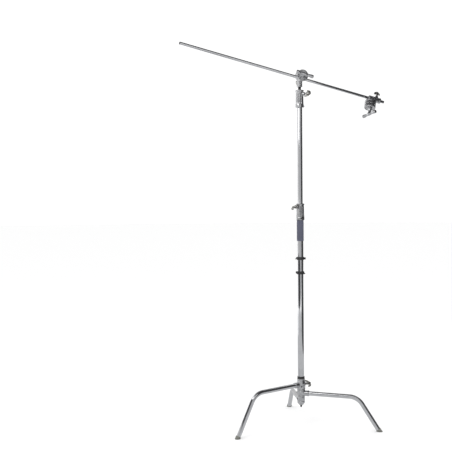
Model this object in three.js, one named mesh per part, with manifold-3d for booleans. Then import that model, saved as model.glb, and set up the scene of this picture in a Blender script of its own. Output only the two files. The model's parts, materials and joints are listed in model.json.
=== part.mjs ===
// A C-stand: a column on three bent legs, one of which slides, two risers, a holding arm and two grip heads.
// Millimetres, +Z up. The origin is the middle of the stand's footprint on the floor.
import * as THREE from "three";
import { mergeVertices } from "three/addons/utils/BufferGeometryUtils.js";
import Module from "manifold-3d";

const wasm = await Module();
wasm.setup();

// ---- driving dimensions ----

const COLUMN_AT = [82.5, -80.5, 0]; // the column's axis on the floor
const GAP = 0.3; // between pieces that touch
const SLIP = 0.4; // round a shaft that slides or turns
const ROUND = 24; // facets round a tube
const COARSE = 16; // facets round small round pieces
const DEG = Math.PI / 180;

const TUBES = {
  column: { r: 17.5, wall: 1.5, bottom: 134, top: 1222 },
  firstRiser: { r: 15, wall: 1.5, bottom: 780, top: 1850 },
  secondRiser: { r: 12.5, wall: 1.5, bottom: 870, top: 1897 },
  arm: { r: 8, wall: 2, left: -700, right: 500 },
  leg: { r: 12.5, wall: 2 },
};

// Each leg: its direction in plan, and the height of its axis at the column and at the bend.
const LEGS = {
  rear: { turn: 99.5, hub: 141, bend: 132 },
  right: { turn: -12, hub: 188, bend: 184 },
  sliding: { turn: 219, hub: 236, bend: 228 },
};
const LEG = { socket: 25, bendAt: 320, footAt: 440, bendRadius: 85, bendSteps: 6, sides: 12 };
const LEG_BOSS = { r: 15.5, rim: 7, end: 46 };
const FOOT = { sole: 4, reach: 14, overhang: 1.4, plug: 22, sides: 20 };

const HUB = { bottom: 120, top: 169.5, r: 21.5 };
const KNUCKLE = { bottom: 170, top: 207.7, r: 23 };
const CASTING = { bottom: 208, top: 269.7, r: 24.5, neck: 22 };
const LINER = { r: 19.6, flange: 20.8, top: 282 };
const PLUG = { tip: 107, r: 5.5, stem: 4 };
// Screws in the castings: their height and their direction from the casting's own leg.
const CASTING_SCREWS = {
  rear: { z: 155, turn: 80.5 },
  right: { z: 191, turn: 180 },
  sliding: { z: 228, turn: 56 },
};

const SLEEVE = { r: 20, bottom: 1051, top: 1167.7 };
const CLIP = { height: 17, r: 20.5, eye: 24, eyeR: 3.7, hookR: 6.2, mouth: 2.1 };
const UPPER_CLIP = { at: 952, turn: -8 };
const LOWER_CLIP = { at: 871, turn: 148 };
const LOWER_COLLAR = { bottom: 1168, top: 1261, step: 1222.3, knobAt: 1241, turn: 232, knobTurn: 30 };
const UPPER_COLLAR = { bottom: 1798, top: 1895, step: 1850.3, knobAt: 1874, turn: -25, knobTurn: 42 };
const COLLAR = { lip: 24.8, boss: 33, screwTurn: 48 };

const STEM = { r: 4, pad: 3 }; // a T-knob's threaded stem, and the pad that it presses
const KNOB = { inner: 38, outer: 68, half: 28, thick: 10, hub: 8.5, seat: 42, stemEnd: 59 };
const LOCK_KNOB = { inner: 34, outer: 54, half: 19, thick: 8, hub: 7, seat: 30, stemEnd: 46 };
const SCREW = { r: 3, head: 4.2 };

const ARM_PLUG = { depth: 20, flange: 7.6, thick: 4 };
const SPIGOT = { r: 8, top: 1980, plugDepth: 46 };
const HEAD_AT = 1970.5; // the first head's bolt axis above the floor
const HEAD_TURN = 17.5;
const ARM_TILT = 14.2;
const SECOND_HEAD = { along: 423, roll: 70, handle: 19.4 };
const HEAD = {
  barrel: 16,
  above: 14,
  below: 58,
  disc: 31.75,
  bolt: 5,
  fixed: [15.4, 28],
  middle: [28.4, 44.4],
  outer: [46.4, 62.4],
  washer: [62.7, 64.7],
  handle: [65, 110],
  boltSeat: 4, // depth of the bolt's foot in the fixed jaw
  boltEnd: 92,
  lockAt: -35,
  pocket: 7.2, // radius of the spring's pockets
  pocketDepth: 4,
};
const GROOVE = { arm: 16, small: 17, side: 19 }; // distances of the rod grooves from the bolt
const GROOVE_R = { arm: 8.4, small: 4.9, side: 6.5 };
const HANDLE = { bar: 50, r: 9, tip: 9.8, hub: 12, turn: 16.7 };

// ---- materials ----

const finish = (color, metalness, roughness) =>
  new THREE.MeshStandardMaterial({ color, metalness, roughness });
const CHROME = finish(0xc9ccd1, 1, 0.12);
const CAST = finish(0xb4b6b8, 1, 0.35);
const KNOB_CAST = finish(0xa3a294, 1, 0.4);
const STEEL = finish(0x8d9094, 1, 0.3);
const BLACK = finish(0x17181a, 0, 0.5);
const DARK_STEEL = finish(0x2a2b2e, 1, 0.35);
const SLATE = finish(0x53566a, 0, 0.8);
const GREY_CAP = finish(0x6f7068, 0, 0.6);
const BRASS = finish(0xb08d4f, 1, 0.35);

// ---- solids ----

function solidOf(geometry) {
  const bare = geometry.index ? geometry.toNonIndexed() : geometry.clone();
  bare.deleteAttribute("normal");
  bare.deleteAttribute("uv");
  const merged = mergeVertices(bare, 1e-4);
  const vertProperties = merged.attributes.position.array;
  const triVerts = new Uint32Array(merged.index.array);
  return new wasm.Manifold(new wasm.Mesh({ numProp: 3, vertProperties, triVerts }));
}

function geometryOf(solid) {
  const mesh = solid.getMesh();
  return new THREE.BufferGeometry()
    .setAttribute("position", new THREE.BufferAttribute(new Float32Array(mesh.vertProperties), 3))
    .setIndex(new THREE.BufferAttribute(new Uint32Array(mesh.triVerts), 1));
}

const join = (...pieces) => geometryOf(pieces.map(solidOf).reduce((all, piece) => all.add(piece)));
const cut = (piece, ...tools) =>
  geometryOf(tools.map(solidOf).reduce((left, tool) => left.subtract(tool), solidOf(piece)));

// A profile of [radius, height] points turned round Z.
const turned = (profile, sides = ROUND) =>
  new THREE.LatheGeometry(profile.map(([r, z]) => new THREE.Vector2(r, z)), sides).rotateX(90 * DEG);
const rod = (r, low, high, sides = ROUND) => turned([[0, low], [r, low], [r, high], [0, high]], sides);
const ring = (inner, outer, low, high, sides = ROUND) =>
  turned([[inner, low], [outer, low], [outer, high], [inner, high], [inner, low]], sides);
const box = (x, y, z) => new THREE.BoxGeometry(x[1] - x[0], y[1] - y[0], z[1] - z[0])
  .translate((x[0] + x[1]) / 2, (y[0] + y[1]) / 2, (z[0] + z[1]) / 2);
const alongX = (geometry) => geometry.rotateY(90 * DEG);
const alongY = (geometry) => geometry.rotateX(-90 * DEG);

const named = (name, geometry, material) => {
  const mesh = new THREE.Mesh(geometry, material);
  mesh.name = name;
  return mesh;
};

function placed(children, { at = [0, 0, 0], turn = [0, 0, 0] } = {}) {
  const group = new THREE.Group();
  group.add(...children);
  group.position.set(...at);
  group.rotation.set(...turn.map((degrees) => degrees * DEG));
  return group;
}

// ---- legs ----

// A leg's centreline in the XZ plane: straight, one round bend, straight. The steps bunch in the bend.
class BentPath extends THREE.Curve {
  constructor(start, corner, end, radius, bendSteps) {
    super();
    this.out = corner.clone().sub(start).normalize();
    this.down = end.clone().sub(corner).normalize();
    this.angle = this.out.angleTo(this.down);
    const tangent = radius * Math.tan(this.angle / 2);
    this.start = start;
    this.end = end;
    this.bendStart = corner.clone().addScaledVector(this.out, -tangent);
    this.bendEnd = corner.clone().addScaledVector(this.down, tangent);
    this.radius = radius;
    this.steps = bendSteps + 2;
  }
  bendShare(t) {
    return THREE.MathUtils.clamp((t * this.steps - 1) / (this.steps - 2), 0, 1);
  }
  getPoint(t) {
    const step = t * this.steps;
    if (step <= 1) return this.start.clone().lerp(this.bendStart, step);
    if (step >= this.steps - 1) return this.bendEnd.clone().lerp(this.end, step - this.steps + 1);
    const bent = this.bendShare(t) * this.angle;
    const inward = new THREE.Vector3(0, 1, 0).cross(this.out);
    return this.bendStart.clone()
      .addScaledVector(this.out, this.radius * Math.sin(bent))
      .addScaledVector(inward, this.radius * (1 - Math.cos(bent)));
  }
  getTangent(t) {
    return this.out.clone().applyAxisAngle(new THREE.Vector3(0, 1, 0), this.bendShare(t) * this.angle);
  }
  getPointAt(t) {
    return this.getPoint(t);
  }
  getTangentAt(t) {
    return this.getTangent(t);
  }
}

function circle(r, sides) {
  const corner = (angle) => new THREE.Vector2(r * Math.cos(angle), r * Math.sin(angle));
  return Array.from({ length: sides }, (_, i) => corner((2 * Math.PI * i) / sides));
}

// How far a leg slopes down between the column and its bend.
const droop = (leg) => Math.atan2(leg.hub - leg.bend, LEG.bendAt);
const alongLeg = (geometry, leg) => geometry.rotateY(90 * DEG + droop(leg)).translate(0, 0, leg.hub);
const belowHeight = (height) => box([-2000, 2000], [-100, 100], [-200, height]);

function legTube(leg) {
  const { r, wall } = TUBES.leg;
  const start = new THREE.Vector3(LEG.socket, 0, leg.hub - LEG.socket * Math.tan(droop(leg)));
  const corner = new THREE.Vector3(LEG.bendAt, 0, leg.bend);
  const foot = new THREE.Vector3(LEG.footAt, 0, 0);
  const pastFoot = foot.clone().addScaledVector(foot.clone().sub(corner).normalize(), 2 * r);
  const path = new BentPath(start, corner, pastFoot, LEG.bendRadius, LEG.bendSteps);
  const section = new THREE.Shape(circle(r, LEG.sides));
  section.holes.push(new THREE.Path(circle(r - wall, LEG.sides)));
  const tube = new THREE.ExtrudeGeometry(section, { steps: path.steps, extrudePath: path });
  return cut(tube, belowHeight(FOOT.sole + GAP));
}

// An end cap in line with the sloping tube: a skirt outside it and a plug inside it, cut flat on the floor.
function legFoot(leg) {
  const { r, wall } = TUBES.leg;
  const slope = Math.atan2(LEG.footAt - LEG.bendAt, leg.bend);
  const inLine = (geometry) => geometry.rotateY(-slope).translate(LEG.footAt, 0, 0);
  const low = -2 * r;
  const skirt = cut(
    inLine(rod(r + GAP + FOOT.overhang, low, FOOT.reach, FOOT.sides)),
    cut(inLine(rod(r + GAP, low, FOOT.reach + r, FOOT.sides)), belowHeight(FOOT.sole)),
  );
  const plug = inLine(rod(r - wall - 2 * SLIP, low, FOOT.plug, LEG.sides));
  return cut(join(skirt, plug), belowHeight(0));
}

const socketBore = (leg) => alongLeg(rod(TUBES.leg.r + GAP, LEG.socket - GAP, 100), leg);

// The socket that grips a leg's end, with a raised rim.
function legBoss(leg) {
  const { r, rim, end } = LEG_BOSS;
  const profile = [[0, 0], [r, 0], [r, end - rim], [r + 1, end - rim + 1], [r + 1, end], [0, end]];
  return alongLeg(turned(profile, COARSE), leg);
}

// A screw from the side of a casting, with a round socket head, and the hole that it sits in.
const atScrew = (geometry, { z, turn }) => alongX(geometry).translate(0, 0, z).rotateZ(turn * DEG);
const screwBore = (place) => atScrew(rod(SCREW.r + GAP, 0, 60, 10), place);
function castingScrew(place, inner, seat) {
  const { r, head } = SCREW;
  const profile = [[0, inner], [r, inner], [r, seat], [head, seat], [head, seat + 2.4], [0, seat + 2.4]];
  return atScrew(cut(turned(profile, 10), rod(1.6, seat + 0.6, seat + 9, 6)), place);
}

function legPieces(name, leg) {
  return [
    named(name + "_leg_tube", legTube(leg), CHROME),
    named(name + "_leg_foot", legFoot(leg), GREY_CAP),
  ];
}

// ---- base castings ----

const columnBore = (low, high, clearance) => rod(TUBES.column.r + clearance, low, high);

function baseHub() {
  const { bottom, top, r } = HUB;
  const body = turned([[0, bottom], [9, bottom], [r, bottom + 15], [r, top], [0, top]]);
  return cut(
    join(body, legBoss(LEGS.rear)),
    columnBore(TUBES.column.bottom - GAP, top + 1, GAP),
    socketBore(LEGS.rear),
    screwBore(CASTING_SCREWS.rear),
    rod(PLUG.stem + GAP, bottom - 1, top, COARSE),
  );
}

function basePlug() {
  const { tip, r, stem } = PLUG;
  const seat = HUB.bottom - GAP;
  const top = seat + 12;
  return turned([[0, tip], [3, tip + 0.6], [r, tip + 4], [r, seat], [stem, seat], [stem, top], [0, top]], 12);
}

function rightKnuckle() {
  const { bottom, top, r } = KNUCKLE;
  return cut(
    join(rod(r, bottom, top), legBoss(LEGS.right)),
    columnBore(bottom - 1, top + 1, SLIP + 0.1),
    socketBore(LEGS.right),
    screwBore(CASTING_SCREWS.right),
  );
}

// A boss on a casting for a T-knob's stem, along +X at a height, with a triangular web under it.
function knobBoss(height, reach, webDrop) {
  const boss = alongX(rod(9.5, 0, reach, COARSE)).translate(0, 0, height);
  const corners = [[0, -webDrop], [0, 6], [reach - 4, 6], [reach - 4, -6]];
  const web = new THREE.Shape(corners.map((corner) => new THREE.Vector2(...corner)));
  const plate = new THREE.ExtrudeGeometry(web, { depth: 9, bevelEnabled: false }).translate(0, 0, -4.5);
  return join(boss, plate.rotateX(90 * DEG).translate(0, 0, height));
}

const stemBore = (height) => alongX(rod(STEM.r + 0.9, 0, 60, 12)).translate(0, 0, height);

function slidingCasting() {
  const { bottom, top, r, neck } = CASTING;
  const body = turned([[0, bottom], [r, bottom], [r, top - 24], [neck, top - 8], [neck, top], [0, top]]);
  const leg = LEGS.sliding;
  const knobSide = knobBoss(leg.hub, COLLAR.boss, 24).rotateZ(180 * DEG);
  return cut(
    join(body, legBoss(leg), knobSide),
    rod(LINER.r + SLIP + 0.1, bottom - 1, top + 1),
    socketBore(leg),
    screwBore(CASTING_SCREWS.sliding),
    stemBore(leg.hub).rotateZ(180 * DEG),
  );
}

function liner() {
  const { r, flange, top } = LINER;
  const inner = TUBES.column.r + SLIP;
  const bottom = CASTING.bottom + 2;
  const seat = CASTING.top + GAP;
  return turned([
    [inner, bottom], [r, bottom], [r, seat], [flange, seat], [flange, top], [inner, top], [inner, bottom],
  ]);
}

// ---- T-knobs ----

// The wing: a crescent whose ends curve back towards the tube, on a round hub. The stem runs along +X.
function knobWing({ inner, outer, half, thick, hub, seat, stemEnd }) {
  const band = (outer - inner) * 0.36;
  const outline = new THREE.Shape();
  outline.moveTo(inner, half);
  outline.quadraticCurveTo(outer + 3, half - 2, outer, 0);
  outline.quadraticCurveTo(outer + 3, 2 - half, inner, -half);
  outline.lineTo(inner + 1, 0.8 * band - half);
  outline.quadraticCurveTo(outer - band, band - half, outer - band - 2, 0);
  outline.quadraticCurveTo(outer - band, half - band, inner + 1, half - 0.8 * band);
  const crescent = new THREE.ExtrudeGeometry(outline, { depth: thick, curveSegments: 5, bevelEnabled: false })
    .translate(0, 0, -thick / 2).rotateX(90 * DEG);
  const boss = alongX(turned([[0, seat], [hub, seat], [hub - 1, outer - 6], [0, outer - 2]], 12));
  return cut(join(crescent, boss), alongX(rod(STEM.r + GAP, 0, stemEnd, 12)));
}

function knobStem(tip, { stemEnd }) {
  const end = stemEnd - GAP;
  return alongX(turned([[0, tip], [STEM.r - 1, tip], [STEM.r, tip + 1], [STEM.r, end], [0, end]], 12));
}

// The pad between a stem's tip and the tube that it clamps.
const pressurePad = (from) => alongX(rod(STEM.r + 0.4, from, from + STEM.pad, 10));

function knob(name, tip, size) {
  return [
    named(name + "_wing", knobWing(size), KNOB_CAST),
    named(name + "_stem", knobStem(tip, size), STEEL),
  ];
}

// ---- collars, sleeve and clips ----

// A collar: a bottom ring that grips the lower tube, a body, a top lip round the upper tube, a knob boss.
function collar({ bottom, top, step, knobAt }, lowerR, upperR, bodyR) {
  const { lip, boss } = COLLAR;
  const body = turned([
    [0, bottom], [lip, bottom], [lip, bottom + 14], [bodyR, bottom + 19],
    [bodyR, top - 7], [lip, top - 5], [lip, top], [0, top],
  ]);
  return cut(
    join(body, knobBoss(knobAt, boss, 42)),
    rod(lowerR + GAP, bottom - 1, step),
    rod(upperR + SLIP, step - 1, top + 1),
    stemBore(knobAt),
    screwBore({ z: bottom + 8, turn: COLLAR.screwTurn }),
  );
}

function collarPieces(name, collarSize, lowerR, upperR, bodyR) {
  const screwPlace = { z: collarSize.bottom + 8, turn: COLLAR.screwTurn };
  return [
    named(name + "_collar", collar(collarSize, lowerR, upperR, bodyR), CAST),
    named(name + "_collar_pad", pressurePad(upperR + SLIP).translate(0, 0, collarSize.knobAt), BRASS),
    named(name + "_collar_screw", castingScrew(screwPlace, lowerR + 2 * GAP, COLLAR.lip + GAP), DARK_STEEL),
  ];
}

function bush(tube, outside) {
  const inside = tube.r - tube.wall;
  const { bottom } = tube;
  return turned([
    [inside - 2.3, bottom - 8], [outside, bottom - 8], [outside, bottom - GAP], [inside - GAP, bottom - GAP],
    [inside - GAP, bottom + 16], [inside - 2.3, bottom + 16], [inside - 2.3, bottom - 8],
  ], 12);
}

function gripSleeve() {
  const { r, bottom, top } = SLEEVE;
  const inner = TUBES.column.r + GAP;
  return ring(inner, r, bottom, top);
}

// A snap ring with an open cable hook on one side (+X) and a drooping tongue on the other (-X).
function cableClip() {
  const { r, eye, eyeR, hookR, mouth } = CLIP;
  const half = CLIP.height / 2;
  const band = ring(TUBES.column.r + GAP, r, -half, half);
  const hook = rod(hookR, -6, 6, COARSE).translate(eye, 0, 0);
  const root = box([r - 1.5, eye], [-hookR, hookR], [-6, 6]);
  const tongue = box([-9, 2], [-5, 5], [-2.5, 2.5]).rotateY(-30 * DEG).translate(-r, 0, 0);
  return cut(
    join(band, hook, root, tongue),
    columnBore(-50, 50, GAP),
    rod(eyeR, -20, 20, COARSE).translate(eye, 0, 0),
    box([eye - mouth, eye + mouth], [0, 20], [-20, 20]),
  );
}

// ---- grip heads ----
// A head's own frame: barrel along Z with the bolt's axis at z = 0, the bolt pointing along -Y.

const towardsBolt = (geometry) => geometry.rotateX(90 * DEG); // turns a piece made along +Z to -Y

function headBody() {
  const { barrel, above, below, disc, fixed, lockAt } = HEAD;
  const [back, front] = fixed;
  const jaw = turned([[0, back], [disc - 2.5, back], [disc, back + 3], [disc, front], [0, front]]);
  const neck = turned([[0, 0], [14.3, 0], [19, back + 1], [0, back + 1]], COARSE);
  const lockBoss = alongY(rod(9, 0, 24, COARSE)).translate(0, 0, lockAt);
  return cut(
    join(rod(barrel, -below, above), towardsBolt(jaw), towardsBolt(neck), lockBoss),
    rod(SPIGOT.r + SLIP, -100, 100),
    alongY(rod(STEM.r + 0.9, 0, 60, 12)).translate(0, 0, lockAt),
    towardsBolt(rod(HEAD.bolt + GAP, back + HEAD.boltSeat, front + 1, COARSE)),
  );
}

const headBolt = () =>
  towardsBolt(rod(HEAD.bolt, HEAD.fixed[0] + HEAD.boltSeat + GAP, HEAD.boltEnd, COARSE));

// Grooves across a jaw's inner face, each for a rod of another size.
function rodGrooves(face) {
  const across = (r) => alongX(rod(r, -60, 60, COARSE));
  const upright = (r) => rod(r, -60, 60, 12);
  return [
    across(GROOVE_R.arm).translate(0, -face, -GROOVE.arm),
    across(GROOVE_R.small).translate(0, -face, GROOVE.small),
    upright(GROOVE_R.side).translate(-GROOVE.side, -face, 0),
  ];
}

function jaw([back, front], springFloor) {
  const { disc, bolt } = HEAD;
  const face = (HEAD.middle[1] + HEAD.outer[0]) / 2;
  return cut(
    towardsBolt(rod(disc, back, front)),
    towardsBolt(rod(bolt + 0.6, back - 1, front + 1, COARSE)),
    towardsBolt(rod(HEAD.pocket, springFloor[0], springFloor[1], COARSE)),
    ...rodGrooves(face),
  );
}

// A short coil spring round the bolt, in the pockets of the two jaws.
class Coil extends THREE.Curve {
  constructor(radius, turns, low, high) {
    super();
    Object.assign(this, { radius, turns, low, high });
  }
  getPoint(t) {
    const angle = 2 * Math.PI * this.turns * t;
    const height = THREE.MathUtils.lerp(this.low, this.high, t);
    return new THREE.Vector3(this.radius * Math.cos(angle), this.radius * Math.sin(angle), height);
  }
}

function jawSpring() {
  const wire = 0.6;
  const low = HEAD.middle[1] - HEAD.pocketDepth + wire + GAP;
  const high = HEAD.outer[0] + HEAD.pocketDepth - wire - GAP;
  const coil = new Coil((HEAD.bolt + HEAD.pocket) / 2 + 0.1, 2, low, high);
  const section = new THREE.Shape(circle(wire, 5));
  return towardsBolt(new THREE.ExtrudeGeometry(section, { steps: 22, extrudePath: coil }));
}

// The T-handle: a tapered stalk threaded on the bolt and a cross bar with thicker ends.
function handle() {
  const { handle: [low, high], bolt, boltEnd } = HEAD;
  const { bar, r, tip, hub } = HANDLE;
  const axis = high - tip;
  const stalk = turned([[0, low], [hub, low], [hub - 3.5, low + 20], [hub - 3.5, axis], [0, axis]], 12);
  const half = [[r, 0], [r - 1.5, 12], [tip, bar - 9], [tip, bar - 2], [tip - 2.5, bar], [0, bar]];
  const mirrored = half.slice(1).reverse().map(([radius, z]) => [radius, -z]);
  const arms = alongX(turned([...mirrored, ...half], 12)).translate(0, 0, axis);
  return towardsBolt(cut(join(stalk, arms), rod(bolt + 0.6, low - 1, boltEnd + 1, 12)));
}

// A whole head. The jaws turn with whatever they hold, so the arm, if given, hangs in the jaws' group.
function gripHead(name, { tilt, lockTurn, handleTurn, held = [] }) {
  const { middle, outer, bolt, washer, pocketDepth, lockAt } = HEAD;
  const body = [
    named(name + "_body", headBody(), CAST),
    named(name + "_bolt", headBolt(), STEEL),
  ];
  const lock = placed(
    [placed(knob(name + "_lock", SPIGOT.r + SLIP + GAP, LOCK_KNOB), { turn: [lockTurn, 0, 0] })],
    { at: [0, 0, lockAt], turn: [0, 0, 90] },
  );
  const jaws = placed([
    named(name + "_middle_jaw", jaw(middle, [middle[1] - pocketDepth, middle[1] + 1]), CAST),
    named(name + "_jaw_spring", jawSpring(), STEEL),
    named(name + "_outer_jaw", jaw(outer, [outer[0] - 1, outer[0] + pocketDepth]), CAST),
    ...held,
  ], { turn: [0, tilt, 0] });
  const handlePieces = placed([
    named(name + "_washer", towardsBolt(ring(bolt + 0.6, 10.5, ...washer, 12)), STEEL),
    named(name + "_handle", handle(), CAST),
  ], { turn: [0, handleTurn, 0] });
  return placed([...body, lock, jaws, handlePieces]);
}

// ---- arm ----

function armPlug() {
  const { depth, flange, thick } = ARM_PLUG;
  const inside = TUBES.arm.r - TUBES.arm.wall - GAP;
  return alongX(turned([
    [0, -depth], [inside, -depth], [inside, GAP],
    [flange, GAP], [flange, thick - 1], [flange - 1, thick], [0, thick],
  ], COARSE));
}

// The arm lies along X, with the first head's clamp at x = 0.
function arm(held) {
  const { r, wall, left, right } = TUBES.arm;
  const mirrored = armPlug().rotateZ(180 * DEG);
  return placed([
    named("arm_tube", alongX(ring(r - wall, r, left, right)), CHROME),
    named("arm_left_plug", mirrored.translate(left, 0, 0), BLACK),
    named("arm_right_plug", armPlug().translate(right, 0, 0), BLACK),
    held,
  ], { at: [0, -(HEAD.middle[1] + HEAD.outer[0]) / 2, -GROOVE.arm] });
}

// ---- the stand ----

const plainTube = ({ r, wall, bottom, top }) => ring(r - wall, r, bottom, top);

function spigot() {
  const tube = TUBES.secondRiser;
  const { r, top, plugDepth } = SPIGOT;
  const plug = tube.r - tube.wall - GAP;
  const shoulder = tube.top + GAP;
  return turned([
    [0, tube.top - plugDepth], [plug, tube.top - plugDepth], [plug, shoulder], [r, shoulder + 3],
    [r, top - 22], [6.4, top - 20], [6.4, top - 12], [r, top - 10], [r, top], [0, top],
  ]);
}

const clipPiece = (name, { at, turn }) =>
  placed([named(name, cableClip(), BLACK)], { at: [0, 0, at], turn: [0, 0, turn] });

function baseAndColumn() {
  const column = [
    named("column_tube", plainTube(TUBES.column), CHROME),
    named("base_plug", basePlug(), BLACK),
    named("grip_sleeve", gripSleeve(), SLATE),
    clipPiece("upper_cable_clip", UPPER_CLIP),
    clipPiece("lower_cable_clip", LOWER_CLIP),
  ];
  const columnSide = TUBES.column.r + 2 * GAP;
  const rear = placed([
    named("base_hub", baseHub(), CAST),
    named("base_hub_screw", castingScrew(CASTING_SCREWS.rear, columnSide, HUB.r + GAP), DARK_STEEL),
    ...legPieces("rear", LEGS.rear),
  ], { turn: [0, 0, LEGS.rear.turn] });
  const rightScrew = castingScrew(CASTING_SCREWS.right, columnSide + GAP, KNUCKLE.r + GAP);
  const right = placed([
    named("right_leg_knuckle", rightKnuckle(), CAST),
    named("right_knuckle_screw", rightScrew, DARK_STEEL),
    ...legPieces("right", LEGS.right),
  ], { turn: [0, 0, LEGS.right.turn] });
  const linerSide = LINER.r + SLIP;
  const baseKnob = placed([
    named("sliding_leg_pad", pressurePad(linerSide), BRASS),
    placed(knob("sliding_leg_knob", linerSide + STEM.pad + GAP, KNOB), { turn: [30, 0, 0] }),
  ], { at: [0, 0, LEGS.sliding.hub], turn: [0, 0, 180] });
  const slidingScrew = castingScrew(CASTING_SCREWS.sliding, linerSide + SLIP, CASTING.r + GAP);
  const sliding = placed([
    named("sliding_leg_casting", slidingCasting(), CAST),
    named("sliding_casting_screw", slidingScrew, DARK_STEEL),
    ...legPieces("sliding", LEGS.sliding),
    baseKnob,
  ], { turn: [0, 0, LEGS.sliding.turn] });
  return placed([...column, rear, right, sliding, named("sliding_leg_liner", liner(), BLACK)]);
}

function collarWithKnob(name, collarSize, lower, upper, bodyR) {
  const stemKnob = placed(knob(name + "_collar_knob", upper.r + SLIP + STEM.pad + GAP, KNOB), {
    at: [0, 0, collarSize.knobAt],
    turn: [collarSize.knobTurn, 0, 0],
  });
  return placed([...collarPieces(name, collarSize, lower.r, upper.r, bodyR), stemKnob], {
    turn: [0, 0, collarSize.turn],
  });
}

function risers() {
  const { column, firstRiser, secondRiser } = TUBES;
  return placed([
    collarWithKnob("lower", LOWER_COLLAR, column, firstRiser, 22.8),
    named("first_riser_tube", plainTube(firstRiser), CHROME),
    named("first_riser_bush", bush(firstRiser, column.r - column.wall - SLIP), BLACK),
    collarWithKnob("upper", UPPER_COLLAR, firstRiser, secondRiser, 22),
    named("second_riser_tube", plainTube(secondRiser), CHROME),
    named("second_riser_bush", bush(secondRiser, firstRiser.r - firstRiser.wall - SLIP), BLACK),
    named("spigot", spigot(), DARK_STEEL),
  ]);
}

// The second head sits on the arm: its barrel round the arm, its bolt hanging down and a little forwards.
function secondHead() {
  const head = gripHead("second_head", { tilt: 0, lockTurn: 90, handleTurn: SECOND_HEAD.handle });
  head.rotation.y = -90 * DEG;
  return placed([head], { at: [SECOND_HEAD.along, 0, 0], turn: [SECOND_HEAD.roll, 0, 0] });
}

function cStand() {
  const firstHead = gripHead("first_head", {
    tilt: ARM_TILT, lockTurn: 65, handleTurn: HANDLE.turn, held: [arm(secondHead())],
  });
  firstHead.position.z = HEAD_AT;
  firstHead.rotation.z = HEAD_TURN * DEG;
  return placed([baseAndColumn(), risers(), firstHead], { at: COLUMN_AT });
}

export default cStand();
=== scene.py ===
"""The looks of a C-stand: chromed tubes and legs, satin castings, T-knobs, two grip heads and a holding arm."""
import json
from math import atan2, cos, pi, radians, sin, tan

import bpy
from mathutils import Matrix, Vector


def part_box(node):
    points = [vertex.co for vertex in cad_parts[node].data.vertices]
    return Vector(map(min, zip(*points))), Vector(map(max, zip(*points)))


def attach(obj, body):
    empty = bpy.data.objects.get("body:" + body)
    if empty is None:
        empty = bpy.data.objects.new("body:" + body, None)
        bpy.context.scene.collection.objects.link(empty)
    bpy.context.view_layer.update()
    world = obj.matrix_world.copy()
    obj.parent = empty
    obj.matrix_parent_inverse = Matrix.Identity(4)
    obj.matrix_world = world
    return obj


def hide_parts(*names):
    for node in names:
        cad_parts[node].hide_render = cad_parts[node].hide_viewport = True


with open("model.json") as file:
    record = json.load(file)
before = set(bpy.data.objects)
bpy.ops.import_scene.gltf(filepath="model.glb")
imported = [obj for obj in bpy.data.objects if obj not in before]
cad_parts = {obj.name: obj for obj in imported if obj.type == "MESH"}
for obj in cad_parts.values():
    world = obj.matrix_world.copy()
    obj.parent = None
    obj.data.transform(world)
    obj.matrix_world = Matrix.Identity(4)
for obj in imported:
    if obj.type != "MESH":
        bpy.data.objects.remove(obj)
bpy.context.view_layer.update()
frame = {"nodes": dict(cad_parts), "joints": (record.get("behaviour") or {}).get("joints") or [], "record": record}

# ---- sizes, in millimetres ----

MM = 0.001
GAP = 0.3
FINE, MEDIUM, SMALL = 96, 64, 32  # facets round tubes, castings and small pieces

COLUMN = {"r": 17.5, "wall": 1.5}
FIRST_RISER = {"r": 15, "wall": 1.5}
SECOND_RISER = {"r": 12.5, "wall": 1.5}
ARM = {"r": 8, "wall": 2}
LEG = {"r": 12.5, "wall": 2, "socket": 25, "bend_at": 320, "foot_at": 440, "bend_radius": 85}
LEGS = {
    "rear": {"turn": 99.5, "hub": 141, "bend": 132},
    "right": {"turn": -12, "hub": 188, "bend": 184},
    "sliding": {"turn": 219, "hub": 236, "bend": 228},
}
FOOT = {"r": 14.2, "bore": 12.8, "reach": 14, "sole": 4}
HUB = {"bottom": 120, "top": 169.5, "r": 21.5}
KNUCKLE = {"bottom": 170, "top": 207.7, "r": 23}
CASTING = {"bottom": 208, "top": 269.7, "r": 24.5, "neck": 22, "bore": 20.1}
LINER = {"inner": 17.9, "r": 19.6, "flange": 20.8, "bottom": 210, "seat": 270, "top": 282}
SCREWS = {"rear": (155, 80.5), "right": (191, 180), "sliding": (228, 56)}
SLEEVE = {"inner": 17.8, "r": 20, "ribs": 54, "depth": 0.75}
CLIP = {"half": 8.5, "r": 20.5, "eye": 24, "eye_r": 3.7, "hook_r": 6.2, "mouth": 2.1}
LOWER_COLLAR = {"bottom": 1168, "top": 1261, "step": 1222.3, "knob": 1241, "lower": 17.8, "upper": 15.4, "body": 22.8}
UPPER_COLLAR = {"bottom": 1798, "top": 1895, "step": 1850.3, "knob": 1874, "lower": 15.3, "upper": 12.9, "body": 22}
LIP = 24.8
COLLAR_SCREW_TURN = 48
KNOB_BOSS = {"r": 9.5, "reach": 33}
STEM = 4
KNOB = {"inner": 38, "outer": 68, "half": 28, "thick": 10, "hub": 8.5, "seat": 42, "end": 58.7, "boss": 33}
LOCK_KNOB = {"inner": 34, "outer": 54, "half": 19, "thick": 8, "hub": 7, "seat": 30, "end": 45.7, "boss": 24}
HEAD = {
    "barrel": 16, "bore": 8.4, "above": 14, "below": 58, "disc": 31.75, "bolt": 5, "lock": -35,
    "fixed": (15.4, 28), "middle": (28.4, 44.4), "outer": (46.4, 62.4), "washer": (62.7, 64.7),
    "handle": (65, 110), "bolt_end": 92,
}
GROOVES = {"arm": (16, 8.4), "small": (17, 4.9), "side": (19, 6.5)}
HANDLE = {"bar": 50, "r": 9, "tip": 9.8, "hub": 12}

# ---- places, from the frame ----

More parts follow.
